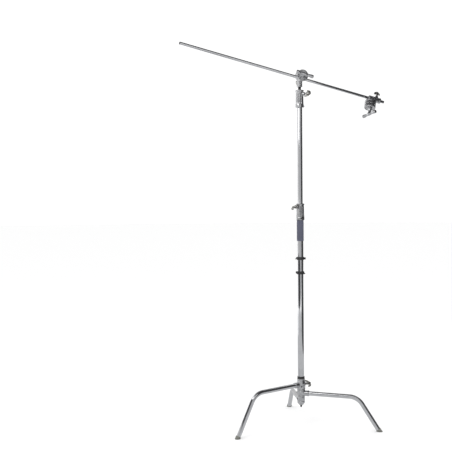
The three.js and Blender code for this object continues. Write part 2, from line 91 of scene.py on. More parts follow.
JOINTS = {joint["name"]: joint for joint in frame["joints"]}
AXIS = Vector(JOINTS["right_leg_swivel"]["pos_m"]).to_2d().to_3d()  # the column's axis on the floor


def shift(x=0, y=0, z=0):
    return Matrix.Translation(Vector((x, y, z)) * MM)


def turn(degrees, axis="Z"):
    return Matrix.Rotation(radians(degrees), 4, axis)


def on_column(degrees=0, height=0):
    """A frame on the column's axis, turned so that X points that way in plan."""
    return Matrix.Translation(AXIS) @ shift(z=height) @ turn(degrees)


def axes_at(place, x=None, y=None, z=None):
    """A frame at a point, from two of its axes."""
    x, y, z = (Vector(v).normalized() if v is not None else None for v in (x, y, z))
    if x is None:
        x = y.cross(z)
    elif y is None:
        y = z.cross(x)
    else:
        z = x.cross(y)
    return Matrix.Translation(place) @ Matrix((x, y, z)).transposed().to_4x4()


def joint_place(name):
    return Vector(JOINTS[name]["pos_m"])


def joint_axis(name):
    return Vector(JOINTS[name]["axis"])


ALONG_X = turn(90, "Y")
TOWARDS_BOLT = turn(90, "X")
ALONG_Y = turn(-90, "X")


def head_frame(head):
    """Barrel along Z with the bolt's axis at the origin; the bolt points along -Y."""
    up = Vector((0, 0, 1)) if head == "first_head" else -joint_axis("second_head_roll")
    return axes_at(joint_place(head + "_tilt"), y=-joint_axis(head + "_tilt"), z=up)


def jaw_frame(head):
    if head == "second_head":
        return head_frame(head)
    return axes_at(joint_place("first_head_tilt"), x=joint_axis("arm_slide"), y=-joint_axis("first_head_tilt"))


def knob_frame(knob_name, roll):
    """X along the stem, away from the tube."""
    joint = knob_name + "_turn"
    along = joint_axis(joint)
    side = Vector((0, 0, 1)).cross(along) if abs(along.z) < 0.9 else Vector((0, 1, 0))
    return axes_at(joint_place(joint), x=along, y=side) @ turn(roll, "X")


# ---- bench tools ----


def put_down():
    """Leaves edit mode and selects nothing."""
    if bpy.context.object and bpy.context.object.mode == "EDIT":
        bpy.ops.object.mode_set(mode="OBJECT")
    bpy.ops.object.select_all(action="DESELECT")


def take(piece):
    put_down()
    piece.select_set(True)
    bpy.context.view_layer.objects.active = piece
    return piece


def placed(piece, *frames):
    """Moves a piece's mesh through one frame after another; the object stays at the origin."""
    take(piece)
    for place in frames:
        piece.matrix_world = place @ piece.matrix_world
        bpy.context.view_layer.update()
    bpy.ops.object.transform_apply(location=True, rotation=True, scale=True)
    return piece


def edited(piece):
    take(piece)
    bpy.ops.object.mode_set(mode="EDIT")
    bpy.ops.mesh.select_all(action="SELECT")


def mended(piece):
    """Merges doubled points and turns the faces outwards."""
    edited(piece)
    bpy.ops.mesh.remove_doubles(threshold=1e-6)
    bpy.ops.mesh.normals_make_consistent(inside=False)
    put_down()
    return placed(piece)


def modified(piece, kind, **settings):
    take(piece)
    modifier = piece.modifiers.new("step", kind)
    for name, value in settings.items():
        setattr(modifier, name, value)
    bpy.ops.object.modifier_apply(modifier=modifier.name)
    return piece


def rounded(piece, width=0.4, segments=2, angle=35):
    return modified(
        piece, "BEVEL", width=width * MM, segments=segments, limit_method="ANGLE", angle_limit=radians(angle),
    )


def drawn_along(profile):
    """Extrudes what is selected from one [radius, height] point to the next, about the Z axis."""
    for (r0, z0), (r1, z1) in zip(profile, profile[1:]):
        bpy.ops.mesh.extrude_region_move(TRANSFORM_OT_translate={"value": (0, 0, (z1 - z0) * MM)})
        bpy.ops.transform.resize(value=(r1 / r0, r1 / r0, 1), center_override=(0, 0, z1 * MM))


def turned(profile, sides=MEDIUM):
    """A solid turned about Z: a disc drawn up through the profile's [radius, height] points."""
    put_down()
    radius, height = profile[0]
    bpy.ops.mesh.primitive_circle_add(
        vertices=sides, radius=radius * MM, fill_type="NGON", location=(0, 0, height * MM), enter_editmode=True,
    )
    piece = bpy.context.object
    drawn_along(profile)
    return mended(piece)


def hollow(profile, sides=FINE, notches=None):
    """A ring turned about Z: the profile closes on itself. Notches press in every third point by a ratio."""
    put_down()
    radius, height = profile[0]
    bpy.ops.mesh.primitive_circle_add(
        vertices=sides, radius=radius * MM, location=(0, 0, height * MM), enter_editmode=True,
    )
    piece = bpy.context.object
    if notches:
        bpy.ops.object.mode_set(mode="OBJECT")
        for i, vertex in enumerate(piece.data.vertices):
            vertex.select = i % 3 == 0
        bpy.ops.object.mode_set(mode="EDIT")
        bpy.ops.transform.resize(value=(notches, notches, 1), center_override=(0, 0, height * MM))
        bpy.ops.mesh.select_all(action="SELECT")
    drawn_along([*profile, profile[0]])
    return mended(piece)


def rod(r, low, high, sides=MEDIUM):
    return turned([(r, low), (r, high)], sides)


def pipe(r, wall, low, high, sides=FINE):
    return rounded(hollow([(r - wall, low), (r, low), (r, high), (r - wall, high)], sides), 0.35)


def block(x, y, z):
    """A box between two limits on each axis, with its corners eased."""
    put_down()
    middle = [(low + high) / 2 * MM for low, high in (x, y, z)]
    size = [(high - low) * MM for low, high in (x, y, z)]
    bpy.ops.mesh.primitive_cube_add(size=1, location=middle, scale=size)
    return placed(bpy.context.object)


def trimmed(piece, point, normal):
    """Cuts away what lies past a plane and closes the cut."""
    edited(piece)
    bpy.ops.mesh.bisect(plane_co=Vector(point) * MM, plane_no=normal, clear_outer=True, use_fill=True)
    put_down()
    return piece


def joined(*pieces):
    put_down()
    for piece in pieces:
        piece.select_set(True)
    bpy.context.view_layer.objects.active = pieces[0]
    if len(pieces) > 1:
        bpy.ops.object.join()
    return pieces[0]


def copied(piece):
    take(piece)
    bpy.ops.object.duplicate()
    return bpy.context.object


def discarded(piece):
    take(piece)
    bpy.ops.object.delete()


def cut(piece, *tools):
    for tool in tools:
        modified(piece, "BOOLEAN", operation="DIFFERENCE", object=tool, solver="EXACT")
        discarded(tool)
    return piece


def cast(voxel, ease, *pieces):
    """Melts overlapping solids into one with filleted corners, as in a die casting."""
    piece = joined(*pieces)
    modified(piece, "REMESH", mode="VOXEL", voxel_size=voxel * MM, use_smooth_shade=True)
    return modified(piece, "SMOOTH", factor=0.5, iterations=ease)


# ---- finishes ----


class Wire:
    """A node's output. Python's operators join wires and numbers with Math nodes."""

    def __init__(self, paint, socket):
        self.paint, self.socket = paint, socket

    def _math(self, operation, a, b):
        return self.paint.node("ShaderNodeMath", {"operation": operation}, {0: a, 1: b})

    def __add__(self, other):
        return self._math("ADD", self, other)

    def __sub__(self, other):
        return self._math("SUBTRACT", self, other)

    def __mul__(self, other):
        return self._math("MULTIPLY", self, other)

    def __rsub__(self, other):
        return self._math("SUBTRACT", other, self)

    def __pow__(self, other):
        return self._math("POWER", self, other)

    __radd__, __rmul__ = __add__, __mul__


class Paint:
    """A material being mixed: one Principled shader and the nodes that feed it."""

    def __init__(self, name):
        self.material = bpy.data.materials.new(name)
        self.material.use_nodes = True
        self.nodes = self.material.node_tree.nodes
        self.links = self.material.node_tree.links
        self.shader = self.nodes["Principled BSDF"]
        self.place = self.node("ShaderNodeTexCoord", output="Object")

    def node(self, kind, settings=(), inputs=(), output=0):
        made = self.nodes.new(kind)
        for name, value in dict(settings).items():
            if name == "stops":
                self._stops(made.color_ramp, value)
            else:
                setattr(made, name, value)
        for key, value in dict(inputs).items():
            self._feed(made.inputs[key], value)
        return Wire(self, made.outputs[output])

    def _stops(self, ramp, stops):
        while len(ramp.elements) < len(stops):
            ramp.elements.new(1)
        for element, (position, colour) in zip(ramp.elements, stops):
            element.position, element.color = position, (*colour, 1)

    def _feed(self, socket, value):
        if isinstance(value, Wire):
            self.links.new(value.socket, socket)
        else:
            socket.default_value = (*value, 1) if socket.type == "RGBA" else value

    def set(self, **values):
        """Sets the shader's own sockets: base_color is Base Color."""
        for key, value in values.items():
            self._feed(self.shader.inputs[key.replace("_", " ").title().replace("Ior", "IOR")], value)

    def stretched(self, x, y, z):
        return self.node("ShaderNodeMapping", {"vector_type": "POINT"}, {"Vector": self.place, "Scale": (x, y, z)})

    def noise(self, scale, detail=3, roughness=0.5, where=None):
        values = {"Vector": where or self.place, "Scale": scale, "Detail": detail, "Roughness": roughness}
        return self.node("ShaderNodeTexNoise", {}, values)

    def patches(self, value, low, high):
        """Spreads the middle of a noise over 0 to 1, held within it."""
        limits = {"Value": value, "From Min": low, "From Max": high}
        return self.node("ShaderNodeMapRange", {"clamp": True}, limits)

    def mix(self, share, first, second):
        values = {"Factor": share, "A": first, "B": second}
        made = self.nodes.new("ShaderNodeMix")
        made.data_type = "RGBA"
        for key, index in (("Factor", 0), ("A", 6), ("B", 7)):
            self._feed(made.inputs[index], values[key])
        return Wire(self, made.outputs[2])

    def bump(self, height, strength, distance=0.0002, under=None):
        values = {"Height": height, "Strength": strength, "Distance": distance}
        if under:
            values["Normal"] = under
        return self.node("ShaderNodeBump", {}, values, "Normal")

    def edges(self, low=0.49, high=0.54):
        """1 on worn outside corners, 0 on flats and in hollows."""
        return self.patches(self.node("ShaderNodeNewGeometry", output="Pointiness"), low, high)

    def hollows(self, low=0.5, high=0.46):
        """1 in inside corners, 0 on flats and outside corners."""
        return self.patches(self.node("ShaderNodeNewGeometry", output="Pointiness"), low, high)


def chrome_plate():
    paint = Paint("chrome_plate")
    smudges = paint.patches(paint.noise(26, 5, 0.6), 0.45, 0.75)
    wipes = paint.patches(paint.noise(340, 2, 0.5, paint.stretched(1, 1, 0.06)), 0.35, 0.75)
    specks = paint.patches(paint.noise(1500, 1), 0.68, 0.76)
    tone = paint.mix(smudges, (0.80, 0.805, 0.82), (0.70, 0.705, 0.725))
    waves = paint.noise(55, 2)
    paint.set(
        base_color=paint.mix(specks, tone, (0.46, 0.45, 0.44)), metallic=1.0,
        roughness=0.075 + smudges * 0.09 + wipes * 0.035 + specks * 0.2,
        normal=paint.bump(wipes, 0.06, 0.0001, paint.bump(waves, 0.05, 0.0006)),
    )
    return paint.material


def satin_casting(name, light, dark, rough):
    """Plated die casting: mottled satin, brighter on its worn corners, with painted shade darkening its hollows, which
    are also rougher.
    """
    paint = Paint(name)
    mottle = paint.patches(paint.noise(90, 4, 0.6), 0.35, 0.68)
    grain = paint.noise(1900, 2, 0.6)
    pits = paint.patches(paint.noise(700, 1), 0.66, 0.74)
    worn, hollow_shade_and_dulling = paint.edges(), paint.hollows()
    colour = paint.mix(mottle, light, dark)
    # painted shade: the colour in inside corners is darkened, as if by occlusion; the same mask also roughens them
    colour = paint.mix(hollow_shade_and_dulling * 0.7, colour, tuple(c * 0.35 for c in dark))
    colour = paint.mix(worn * 0.6, colour, (0.9, 0.9, 0.9))
    paint.set(
        base_color=paint.mix(pits * 0.6, colour, tuple(c * 0.5 for c in dark)), metallic=1.0,
        roughness=rough + mottle * 0.12 + hollow_shade_and_dulling * 0.15 - worn * 0.1,
        normal=paint.bump(grain, 0.12, 0.00012, paint.bump(mottle, 0.08, 0.0004)),
    )
    return paint.material


def zinc_steel():
    paint = Paint("zinc_steel")
    stains = paint.patches(paint.noise(160, 4, 0.6), 0.4, 0.7)
    lines = paint.noise(2600, 1, 0.5, paint.stretched(1, 1, 0.2))
    paint.set(
        base_color=paint.mix(stains, (0.60, 0.605, 0.62), (0.42, 0.42, 0.42)), metallic=1.0,
        roughness=0.24 + stains * 0.14, normal=paint.bump(lines, 0.1, 0.0001),
    )
    return paint.material


def black_oxide():
    paint = Paint("black_oxide")
    oil = paint.patches(paint.noise(120, 4, 0.6), 0.38, 0.7)
    worn = paint.edges(0.505, 0.56)
    colour = paint.mix(oil, (0.028, 0.028, 0.032), (0.075, 0.073, 0.075))
    paint.set(
        base_color=paint.mix(worn * 0.6, colour, (0.3, 0.3, 0.3)), metallic=0.85, roughness=0.3 + oil * 0.16,
        normal=paint.bump(paint.noise(1600, 2), 0.1, 0.0001),
    )
    return paint.material


def moulded_plastic():
    paint = Paint("moulded_plastic")
    handling = paint.patches(paint.noise(70, 4, 0.6), 0.4, 0.7)
    grain = paint.node("ShaderNodeTexVoronoi", {"feature": "F1"}, {"Vector": paint.place, "Scale": 1500}, "Distance")
    paint.set(
        base_color=paint.mix(handling, (0.016, 0.016, 0.018), (0.036, 0.036, 0.038)), metallic=0.0,
        roughness=0.42 + handling * 0.16, normal=paint.bump(grain, 0.18, 0.00015),
    )
    return paint.material


def grip_rubber():
    """Slate-blue sleeve with paler, rubbed ribs and a powdery surface."""
    paint = Paint("grip_rubber")
    rubbed = paint.patches(paint.noise(30, 4, 0.65), 0.36, 0.7)
    ribs = paint.edges(0.49, 0.56)
    dust = paint.patches(paint.noise(900, 2), 0.56, 0.74)
    colour = paint.mix(rubbed, (0.046, 0.051, 0.086), (0.070, 0.075, 0.118))
    colour = paint.mix(ribs * 0.5, colour, (0.12, 0.125, 0.175))
    paint.set(
        base_color=paint.mix(dust * 0.3, colour, (0.2, 0.205, 0.24)), metallic=0.0, roughness=0.62 + rubbed * 0.16,
        normal=paint.bump(paint.noise(1300, 3, 0.6), 0.25, 0.0002),
    )
    return paint.material


def foot_rubber():
    """Grey-green end cap, scuffed and dirty towards the floor."""
    paint = Paint("foot_rubber")
    height = paint.node("ShaderNodeSeparateXYZ", {}, {"Vector": paint.place}, "Z")
    grime = paint.patches(height, 0.012, 0.0) * paint.patches(paint.noise(220, 4, 0.7), 0.3, 0.65)
    scuffs = paint.patches(paint.noise(420, 3, 0.6), 0.52, 0.66)
    colour = paint.mix(scuffs, (0.17, 0.175, 0.155), (0.27, 0.27, 0.245))
    paint.set(
        base_color=paint.mix(grime * 0.75, colour, (0.055, 0.052, 0.046)), metallic=0.0,
        roughness=0.6 + scuffs * 0.15, normal=paint.bump(paint.noise(1100, 3, 0.6), 0.3, 0.0002),
    )
    return paint.material


def turned_brass():
    paint = Paint("turned_brass")
    tarnish = paint.patches(paint.noise(200, 4, 0.6), 0.4, 0.7)
    paint.set(
        base_color=paint.mix(tarnish, (0.72, 0.56, 0.28), (0.42, 0.31, 0.16)), metallic=1.0,
        roughness=0.28 + tarnish * 0.2, normal=paint.bump(paint.noise(2400, 1), 0.1, 0.0001),
    )
    return paint.material


FINISHES = {
    "chrome_tube": chrome_plate(),
    "casting": satin_casting("satin_casting", (0.74, 0.745, 0.755), (0.46, 0.465, 0.48), 0.19),
    "knob_casting": satin_casting("knob_casting", (0.62, 0.615, 0.57), (0.44, 0.435, 0.40), 0.27),
    "plain_steel": zinc_steel(),
    "dark_steel": black_oxide(),
    "black_plastic": moulded_plastic(),
    "slate_sleeve": grip_rubber(),
    "grey_foot": foot_rubber(),
    "brass_pad": turned_brass(),
}
SLOT_OF = {part["node"]: part["material_slot"] for part in frame["record"]["subparts"]}
BODY_OF = {node: body for body, nodes in frame["record"]["behaviour"]["bodies"].items() for node in nodes}

for node, carried in frame["nodes"].items():
    carried.data.materials.clear()
    carried.data.materials.append(FINISHES[SLOT_OF[node]])


def fitted(piece, node, smooth=32):
    """Finishes a piece that stands for one CAD node, and mounts it on that node's body."""
    take(piece)
    bpy.ops.object.shade_smooth_by_angle(angle=radians(smooth))
    piece.name = piece.data.name = node + "_made"
    piece.data.materials.clear()
    piece.data.materials.append(FINISHES[SLOT_OF[node]])
    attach(piece, BODY_OF[node])
    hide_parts(node)
    return piece


# ---- tubes and legs ----


def upright_tube(node, size):
    low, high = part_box(node)
    return fitted(placed(pipe(size["r"], size["wall"], low.z / MM, high.z / MM), on_column()), node)


def droop(leg):
    """How far a leg slopes down between the column and its bend."""
    return atan2(leg["hub"] - leg["bend"], LEG["bend_at"])


def down_slope(leg):
    """How far a leg's lower part leans out from the vertical."""
    return atan2(LEG["foot_at"] - LEG["bend_at"], leg["bend"])


def along_leg(leg):
    return on_column(leg["turn"], leg["hub"]) @ Matrix.Rotation(pi / 2 + droop(leg), 4, "Y")


def leg_tube(name, leg):
    """A round tube drawn out of its socket, spun round its bend and cut off just above the sole."""
    corner = Vector((LEG["bend_at"], 0, leg["bend"])) * MM
    start = Vector((LEG["socket"], 0, leg["hub"] - LEG["socket"] * tan(droop(leg)))) * MM
    out = (corner - start).normalized()
    down = Vector((sin(down_slope(leg)), 0, -cos(down_slope(leg))))
    bend = out.angle(down)
    radius = LEG["bend_radius"] * MM
    tangent = radius * tan(bend / 2)
    straight = (corner - start).length - tangent
    inward = Vector((0, 1, 0)).cross(out)
    centre = start + out * straight + inward * radius
    put_down()
    bpy.ops.mesh.primitive_circle_add(
        vertices=MEDIUM, radius=LEG["r"] * MM, location=start, rotation=(0, pi / 2 + droop(leg), 0),
    )
    tube = placed(bpy.context.object)
    edited(tube)
    bpy.ops.mesh.extrude_region_move(TRANSFORM_OT_translate={"value": out * straight})
    bpy.ops.mesh.spin(steps=28, angle=bend, center=centre, axis=(0, -1, 0))
    bpy.ops.mesh.extrude_region_move(TRANSFORM_OT_translate={"value": down * 0.3})
    bpy.ops.mesh.select_all(action="SELECT")
    floor = (0, 0, (FOOT["sole"] + GAP) * MM)
    bpy.ops.mesh.bisect(plane_co=floor, plane_no=(0, 0, 1), clear_inner=True)
    mended(tube)
    modified(tube, "SOLIDIFY", thickness=LEG["wall"] * MM, offset=-1, use_rim=True)
    return fitted(placed(tube, on_column(leg["turn"])), name + "_leg_tube")


def leg_foot(name, leg):
    """A moulded cap with two grip rings, cut flat on the floor and grooved under its sole."""
    r, reach = FOOT["r"], FOOT["reach"]
    down_leg = shift(x=LEG["foot_at"]) @ Matrix.Rotation(-down_slope(leg), 4, "Y")
    outline = [
        (r, -40), (r, 1.5), (r - 0.5, 2), (r - 0.5, 3.5), (r, 4), (r, 6), (r - 0.5, 6.5), (r - 0.5, 8), (r, 8.5),
        (r, reach - 1.5), (r - 0.4, reach - 0.4), (r - 1, reach),
    ]
    cap = trimmed(placed(turned(outline), down_leg), (0, 0, 0), (0, 0, -1))
    bore = trimmed(placed(rod(FOOT["bore"], -40, 60), down_leg), (0, 0, FOOT["sole"]), (0, 0, -1))
    grooves = [
        placed(hollow([(a, -1), (a + 1.2, -1), (a + 1.2, 0.8), (a, 0.8)], SMALL), shift(x=LEG["foot_at"]))
        for a in (3.5, 7.5)
    ]
    cut(rounded(cap, 0.25), bore, joined(*grooves))
    return fitted(placed(cap, on_column(leg["turn"])), name + "_leg_foot")


# ---- base castings ----


def leg_boss(leg):
    """The socket that grips a leg's end, with a stepped rim."""
    return placed(
        turned([(14.6, 0), (14.8, 26), (15.5, 30), (15.5, 37), (16.6, 38.6), (16.6, 44.6), (15.9, 46)]), along_leg(leg),
    )


def leg_bore(leg):
    return placed(
        turned([(LEG["r"] + GAP, LEG["socket"] - GAP), (LEG["r"] + GAP, 45.2), (LEG["r"] + 1.2, 46.4),
                (LEG["r"] + 1.2, 60)], FINE),
        along_leg(leg),
    )


def beside_leg(leg, place):
    """A frame on a casting's screw: X points out of the casting."""
    height, round_from_leg = place
    return on_column(leg["turn"] + round_from_leg, height) @ ALONG_X


def screw_pad(leg, place, r):
    return placed(turned([(6.4, 5), (6.4, r - 1.5), (5.2, r + 0.1)], SMALL), beside_leg(leg, place))


def screw_bore(leg, place):
    return placed(rod(3.2, 5, 60, SMALL), beside_leg(leg, place))


def base_hub():
    leg, place, r = LEGS["rear"], SCREWS["rear"], HUB["r"]
    low, top = HUB["bottom"], HUB["top"]
    body = turned([
        (9.5, low), (12, low + 1.6), (19.5, low + 11), (20.9, low + 14), (r, low + 17), (r, low + 22),
        (r - 1, low + 23), (r - 1, low + 25.5), (r, low + 26.5), (r, top - 4), (r - 0.6, top - 1), (r - 1.2, top),
    ], FINE)
    foot = leg_boss(leg)
    hub = cast(0.62, 5, placed(body, on_column()), foot, screw_pad(leg, place, r))
    bore = turned([(18, 133.7), (17.8, 134), (17.8, top + 1)], FINE)
    plug_hole = rod(4.3, low - 3, low + 20, SMALL)
    cut(hub, placed(bore, on_column()), placed(plug_hole, on_column()), leg_bore(leg), screw_bore(leg, place))
    return fitted(hub, "base_hub")


def right_knuckle():
    leg, place, r = LEGS["right"], SCREWS["right"], KNUCKLE["r"]
    low, top = KNUCKLE["bottom"], KNUCKLE["top"]
    body = turned([
        (r - 1.4, low), (r - 0.5, low + 0.6), (r, low + 2), (r, low + 5), (r - 0.9, low + 6), (r - 0.9, low + 7.4),
        (r, low + 8.4), (r, top - 8.4), (r - 0.9, top - 7.4), (r - 0.9, top - 6), (r, top - 5), (r, top - 2),
        (r - 0.5, top - 0.6), (r - 1.4, top),
    ], FINE)
    knuckle = cast(0.62, 5, placed(body, on_column()), leg_boss(leg), screw_pad(leg, place, r))
    bore = rod(18, low - 2, top + 2, FINE)
    cut(knuckle, placed(bore, on_column()), leg_bore(leg), screw_bore(leg, place))
    return fitted(knuckle, "right_leg_knuckle")


def knob_boss(reach, drop):
    """A boss along X for a T-knob's stem, with a web that runs down the casting under it."""
    r = KNOB_BOSS["r"]
    boss = placed(turned([(r, 0), (r, reach - 4), (r - 0.5, reach - 1.2), (r - 1.4, reach)]), ALONG_X)
    web = trimmed(block((0, reach - 4), (-4.5, 4.5), (-drop, 6)), (reach - 4, 0, -6), (drop - 6, 0, 4 - reach))
    return [boss, web]


def stem_bore(height, degrees):
    bore = turned([(4.9, 0), (4.9, 30.6), (6, 32.2), (6, 60)], SMALL)
    return placed(bore, ALONG_X, on_column(degrees, height))


def sliding_casting():
    leg, place = LEGS["sliding"], SCREWS["sliding"]
    low, top, r, neck = (CASTING[key] for key in ("bottom", "top", "r", "neck"))
    body = turned([
        (r - 1.4, low), (r - 0.5, low + 0.6), (r, low + 2), (r, low + 5), (r - 0.9, low + 6), (r - 0.9, low + 7.4),
        (r, low + 8.4), (r, top - 26), (r - 0.4, top - 22), (neck + 0.4, top - 9), (neck, top - 7), (neck, top - 4),
        (neck + 0.7, top - 3), (neck + 0.7, top - 0.8), (neck, top),
    ], FINE)
    lugs = [placed(lug, on_column(leg["turn"] + 180, leg["hub"])) for lug in knob_boss(KNOB_BOSS["reach"], 24)]
    casting = cast(0.65, 5, placed(body, on_column()), leg_boss(leg), *lugs, screw_pad(leg, place, r))
    bore = rod(CASTING["bore"], low - 2, top + 2, FINE)
    cut(casting, placed(bore, on_column()), leg_bore(leg), screw_bore(leg, place),
        stem_bore(leg["hub"], leg["turn"] + 180))
    return fitted(casting, "sliding_leg_casting")


def liner():
    """The black bush between the sliding casting and the column, with a rolled flange."""
    inner, r, flange, bottom, seat, top = LINER.values()
    ring = hollow([
        (inner, bottom), (r, bottom), (r, seat), (flange, seat), (flange, top - 4.5), (flange - 0.8, top - 3.8),
        (flange - 0.8, top - 2.6), (flange - 0.2, top - 1.8), (flange - 0.2, top - 0.5), (flange - 0.8, top),
        (inner, top),
    ])
    return fitted(placed(rounded(ring, 0.2), on_column()), "sliding_leg_liner")


def base_plug():
    plug = turned([
        (1.2, 107), (2.8, 107.3), (4.2, 108.6), (5.2, 111), (5.5, 113), (5.5, 117.6), (4.9, 118.2), (4.9, 119),
        (5.5, 119.4), (5.5, 119.7), (4, 119.7), (4, 131.7),
    ], SMALL)
    return fitted(placed(rounded(plug, 0.15), on_column()), "base_plug")


def socket_screw(node, inner, seat, place):
    """A round-headed socket screw with a plain chamfered rim and a hex recess."""
    shank = turned([(2.6, inner), (3, inner + 0.4), (3, seat), (4.2, seat), (4.2, seat + 2), (3.8, seat + 2.4)], SMALL)
    hexagon = rod(1.8, seat + 0.9, seat + 9, 6)
    return fitted(placed(rounded(cut(shank, hexagon), 0.12), place), node)


def casting_screws():
    r = COLUMN["r"]
    socket_screw("base_hub_screw", r + 0.6, HUB["r"] + GAP, beside_leg(LEGS["rear"], SCREWS["rear"]))
    socket_screw("right_knuckle_screw", r + 0.9, KNUCKLE["r"] + GAP, beside_leg(LEGS["right"], SCREWS["right"]))
    seat = CASTING["r"] + GAP
    socket_screw("sliding_casting_screw", LINER["r"] + 0.8, seat, beside_leg(LEGS["sliding"], SCREWS["sliding"]))


# ---- T-knobs ----


def threads(low, high, r, pitch=1.1):
    """Profile points of a run of thread crests."""
    points, height = [], low
    while height + pitch < high:
        points += [(r - 0.45, height), (r, height + pitch * 0.35), (r, height + pitch * 0.6)]
        height += pitch
    return [*points, (r - 0.45, height)]


def knob_wing(size):
    """A half-round bar whose blunt ends curve back towards the tube, webbed to a round hub. X is the stem's axis."""
    inner, outer, half, thick, hub, seat = (size[key] for key in ("inner", "outer", "half", "thick", "hub", "seat"))
    bar_r = thick / 2
    middle = half - bar_r
    put_down()
    bpy.ops.mesh.primitive_circle_add(
        vertices=SMALL, radius=bar_r * MM, fill_type="NGON", location=Vector((inner + 2, -middle, 0)) * MM,
        rotation=(0, pi / 2, 0),
    )
    bar = placed(bpy.context.object)
    edited(bar)
    bpy.ops.mesh.spin(steps=40, angle=pi, center=Vector((inner + 2, 0, 0)) * MM, axis=(0, 0, -1))
    mended(bar)
    stretch = (outer - inner - 2 - bar_r) / middle
    reach = Matrix.Translation(Vector((inner + 2, 0, 0)) * MM)
    placed(bar, reach.inverted(), Matrix.Diagonal((stretch, 1, 0.94, 1)), reach)
    ends = [
        placed(turned([(bar_r * 0.86, 0), (bar_r * 1.02, 1.4), (bar_r * 1.02, 5.5), (bar_r * 0.9, 8)], SMALL), ALONG_X,
               shift(inner, side * middle))
        for side in (-1, 1)
    ]
    web = trimmed(placed(turned([(middle, -1.9), (middle, 1.9)]), Matrix.Diagonal((stretch, 1, 1, 1)),
                         shift(inner + 2)), (seat + 5, 0, 0), (-1, 0, 0))
    boss = placed(
        turned([(hub - 0.5, seat), (hub, seat + 1), (hub, seat + 2.5), (hub - 1.4, seat + 4), (hub - 1.9, outer - 10),
                (hub - 1.2, outer - 4), (hub - 2.4, outer - 1.2), (hub - 5, outer - 0.4)], SMALL), ALONG_X)
    wing = cast(0.5, 4, bar, *ends, web, boss)
    return cut(wing, placed(rod(STEM + GAP, seat - 6, size["end"] + GAP, SMALL), ALONG_X))


def knob_stem(size, tip):
    """The threaded stem between the pad and the wing."""
    run = threads(size["boss"] - 10, size["seat"] + 3, STEM)
    stem = turned([(STEM - 1, tip), (STEM - 0.4, tip + 0.8), *run, (STEM, size["seat"] + 4.5), (STEM, size["end"])], SMALL)
    return placed(stem, ALONG_X)


def t_knobs():
    tips = {"sliding_leg_knob": LINER["r"] + 3.7, "lower_collar_knob": 18.7, "upper_collar_knob": 16.2}
    rolls = {"sliding_leg_knob": 30, "lower_collar_knob": 30, "upper_collar_knob": 42}
    wing = knob_wing(KNOB)
    for name, tip in tips.items():
        where = knob_frame(name, rolls[name])
        fitted(placed(copied(wing), where), name + "_wing")
        fitted(placed(knob_stem(KNOB, tip), where), name + "_stem")
    discarded(wing)


# ---- collars, sleeve and clips ----


def collar(node, size, knob_turn):
    """A fluted collar that flares to a gripping ring below and a thin lip above, with a boss for its T-knob."""
    bottom, top, body = size["bottom"], size["top"], size["body"]
    shell = turned([
        (LIP - 1, bottom), (LIP - 0.2, bottom + 0.8), (LIP, bottom + 2), (LIP, bottom + 12), (LIP - 0.8, bottom + 15),
        (body + 0.6, bottom + 22), (body, bottom + 30), (body - 0.5, top - 30), (body - 0.7, top - 12),
        (body - 0.3, top - 9), (LIP - 0.2, top - 5.6), (LIP, top - 4.8), (LIP, top - 1), (LIP - 0.8, top),
    ], FINE)
    flutes = []
    low, high = bottom + 17, top - 13
    for i in range(12):
        angle = 30 * i + 15
        if 35 < angle < 325:
            flute = turned([(0.8, low), (2.8, low + 3), (3.9, low + 9), (3.9, high - 7), (2.8, high - 2), (0.8, high)], SMALL)
            flutes.append(placed(flute, shift(x=body + 1.5), turn(angle)))
    cut(shell, joined(*flutes))
    lugs = [placed(lug, shift(z=size["knob"])) for lug in knob_boss(KNOB_BOSS["reach"], 42)]
    pad = placed(turned([(6, 8), (6, LIP - 0.6), (5, LIP + 0.1)], SMALL), ALONG_X, shift(z=bottom + 8),
                 turn(COLLAR_SCREW_TURN))
    made = placed(cast(0.6, 4, shell, *lugs, pad), on_column(knob_turn))
    bore = turned([(size["lower"], bottom - 2), (size["lower"], size["step"]), (size["upper"], size["step"] + 0.01),
                   (size["upper"], top + 2)], FINE)
    hole = placed(rod(3.2, 10, 60, SMALL), ALONG_X, on_column(knob_turn + COLLAR_SCREW_TURN, bottom + 8))
    cut(made, placed(bore, on_column()), stem_bore(size["knob"], knob_turn), hole)
    fitted(made, node)
    screw_place = on_column(knob_turn + COLLAR_SCREW_TURN, bottom + 8) @ ALONG_X
    socket_screw(node + "_screw", size["lower"] + GAP, LIP + GAP, screw_place)


def grip_sleeve():
    """A rubber sleeve with fine upright ribs between two smooth rolled ends."""
    low, high = (corner.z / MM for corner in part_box("grip_sleeve"))
    r, inner = SLEEVE["r"], SLEEVE["inner"]
    ribs = hollow([
        (r - 1.5, low + 0.4), (r - 0.5, low + 0.4), (r, low + 1.4), (r, high - 1.4), (r - 0.5, high - 0.4),
        (r - 1.5, high - 0.4),
    ], SLEEVE["ribs"] * 3, notches=1 - SLEEVE["depth"] / r)
    core = hollow([
        (inner, low), (r - 1, low), (r - 0.5, low + 0.5), (r - 0.5, low + 2.6), (r - 1.1, low + 3.1),
        (r - 1.1, high - 3.1), (r - 0.5, high - 2.6), (r - 0.5, high - 0.5), (r - 1, high), (inner, high),
    ])
    return fitted(placed(joined(ribs, core), on_column()), "grip_sleeve", 20)


